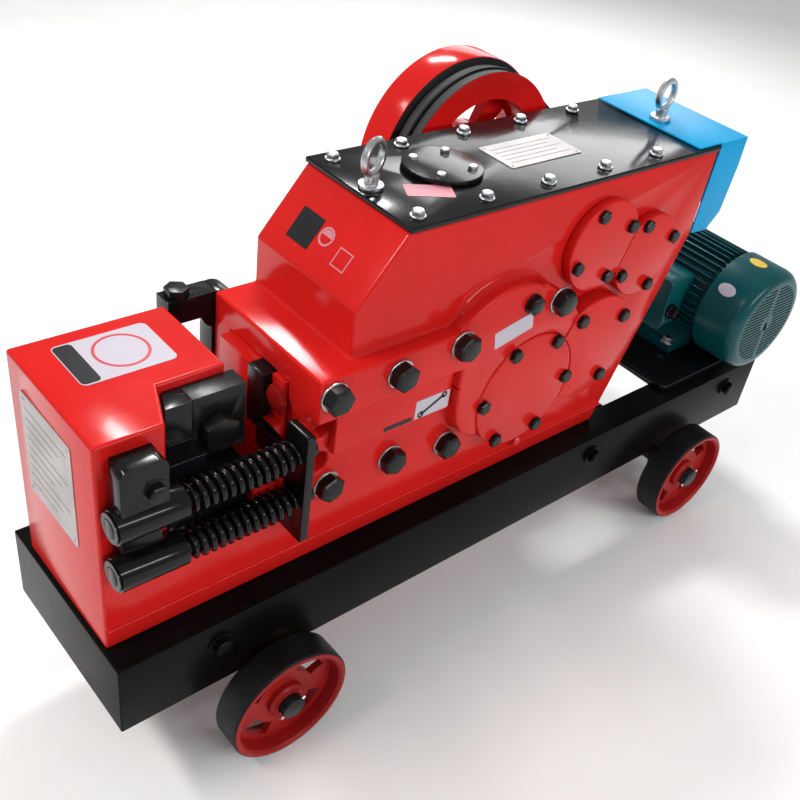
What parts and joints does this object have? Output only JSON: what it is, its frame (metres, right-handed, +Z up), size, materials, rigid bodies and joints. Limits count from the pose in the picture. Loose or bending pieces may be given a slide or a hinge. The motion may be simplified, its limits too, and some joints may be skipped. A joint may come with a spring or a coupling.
{
  "type": "rebar cutter",
  "caption": "Belt-driven rebar cutter: red gearbox housing with cutting throat, spring-returned ram, flywheel and motor on a wheeled channel bench.",
  "frame": {"origin": "middle of the footprint box, on the ground", "axes": "+X from the cutting head to the motor, -Y to the spring side, +Z up"},
  "size_m": [1.181, 0.392, 0.6944],
  "materials": {
    "red_paint": "gloss",
    "black_paint": "gloss",
    "cast_red": "painted, satin",
    "teal_paint": "satin",
    "blue_paint": "satin",
    "steel": "machined",
    "dark_steel": "black oxide",
    "zinc": "zinc plated",
    "bronze": "machined",
    "belt": "matte"
  },
  "bodies": {
    "machine": {"main_housing": "red_paint", "gib_plate": "red_paint", "crank_cover": "red_paint", "layshaft_cover": "red_paint", "input_cover": "red_paint", "countershaft_cover": "red_paint", "crank_cover_far": "red_paint", "layshaft_cover_far": "red_paint", "countershaft_cover_far": "red_paint", "input_seal_cover": "red_paint", "base_frame": "black_paint", "top_cover": "black_paint", "inspection_cover": "black_paint", "blade_holder": "black_paint", "hold_down_bracket": "black_paint", "spring_bracket": "black_paint", "return_spring_upper": "black_paint", "return_spring_lower": "black_paint", "motor_plate": "black_paint", "motor_frame": "teal_paint", "end_shield": "teal_paint", "fan_cover": "teal_paint", "terminal_box": "teal_paint", "terminal_lid": "teal_paint", "belt_guard": "blue_paint", "front_axle": "dark_steel", "rear_axle": "dark_steel", "fixed_blade": "dark_steel", "fixed_blade_bolt": "dark_steel", "guide_rod_upper": "dark_steel", "guide_rod_lower": "dark_steel", "eyebolt_front": "zinc", "eyebolt_rear": "zinc", "crank_bush_near": "bronze", "crank_bush_far": "bronze", "v_belt_1": "belt", "v_belt_2": "belt"},
    "wheel_fn": {"wheel_front_near": "cast_red"},
    "wheel_ff": {"wheel_front_far": "cast_red"},
    "wheel_rn": {"wheel_rear_near": "cast_red"},
    "wheel_rf": {"wheel_rear_far": "cast_red"},
    "ram_unit": {"ram": "red_paint", "moving_blade": "dark_steel", "spring_yoke": "black_paint"},
    "screw": {"hold_down_screw": "dark_steel"},
    "flywheel_unit": {"flywheel": "cast_red", "input_shaft": "steel"},
    "countershaft_unit": {"countershaft": "steel", "countershaft_gear": "dark_steel"},
    "layshaft_unit": {"layshaft": "steel", "layshaft_gear": "dark_steel"},
    "crank_unit": {"crankshaft": "steel", "bull_gear": "dark_steel"},
    "rod_unit": {"connecting_rod": "dark_steel", "wrist_pin": "steel"},
    "rotor_unit": {"motor_rotor": "steel", "motor_fan": "black_paint", "motor_pulley": "dark_steel"}
  },
  "joints": [
    {"name": "wheel_front_near_spin", "type": "hinge", "parent": "machine", "child": "wheel_fn", "pos_m": [-0.4005, -0.018, 0.08], "axis": [0, 1, 0], "continuous": true},
    {"name": "wheel_front_far_spin", "type": "hinge", "parent": "machine", "child": "wheel_ff", "pos_m": [-0.4005, -0.018, 0.08], "axis": [0, 1, 0], "continuous": true},
    {"name": "wheel_rear_near_spin", "type": "hinge", "parent": "machine", "child": "wheel_rn", "pos_m": [0.3805, -0.018, 0.08], "axis": [0, 1, 0], "continuous": true},
    {"name": "wheel_rear_far_spin", "type": "hinge", "parent": "machine", "child": "wheel_rf", "pos_m": [0.3805, -0.018, 0.08], "axis": [0, 1, 0], "continuous": true},
    {"name": "flywheel_spin", "type": "hinge", "parent": "machine", "child": "flywheel_unit", "pos_m": [0.07615, -0.018, 0.545], "axis": [0, 1, 0], "continuous": true},
    {"name": "countershaft_spin", "type": "hinge", "parent": "machine", "child": "countershaft_unit", "pos_m": [0.17375, -0.018, 0.50909], "axis": [0, 1, 0], "continuous": true},
    {"name": "layshaft_spin", "type": "hinge", "parent": "machine", "child": "layshaft_unit", "pos_m": [0.09266, -0.018, 0.39497], "axis": [0, 1, 0], "continuous": true},
    {"name": "crank_spin", "type": "hinge", "parent": "machine", "child": "crank_unit", "pos_m": [-0.0245, -0.018, 0.369], "axis": [0, 1, 0], "continuous": true},
    {"name": "rod_swing", "type": "hinge", "parent": "crank_unit", "child": "rod_unit", "pos_m": [-0.0045, -0.018, 0.369], "axis": [0, 1, 0], "continuous": true},
    {"name": "motor_spin", "type": "hinge", "parent": "machine", "child": "rotor_unit", "pos_m": [0.5005, -0.018, 0.328], "axis": [0, 1, 0], "continuous": true},
    {"name": "ram_slide", "type": "slide", "parent": "machine", "child": "ram_unit", "axis": [-1, 0, 0], "range_m": [0, 0.04], "stiffness_N_per_m": 9000, "deforming": ["return_spring_upper", "return_spring_lower"]},
    {"name": "hold_down_turn", "type": "slide", "parent": "machine", "child": "screw", "axis": [0, 0, -1], "range_m": [-0.012, 0]}
  ],
  "couplings": [
    {"joint": "motor_spin", "follows": "flywheel_spin", "ratio": 3.5405},
    {"joint": "countershaft_spin", "follows": "flywheel_spin", "ratio": -0.36842},
    {"joint": "layshaft_spin", "follows": "flywheel_spin", "ratio": 0.23133},
    {"joint": "crank_spin", "follows": "flywheel_spin", "ratio": -0.068775},
    {"joint": "rod_swing", "follows": "flywheel_spin", "ratio": 0.068775}
  ]
}
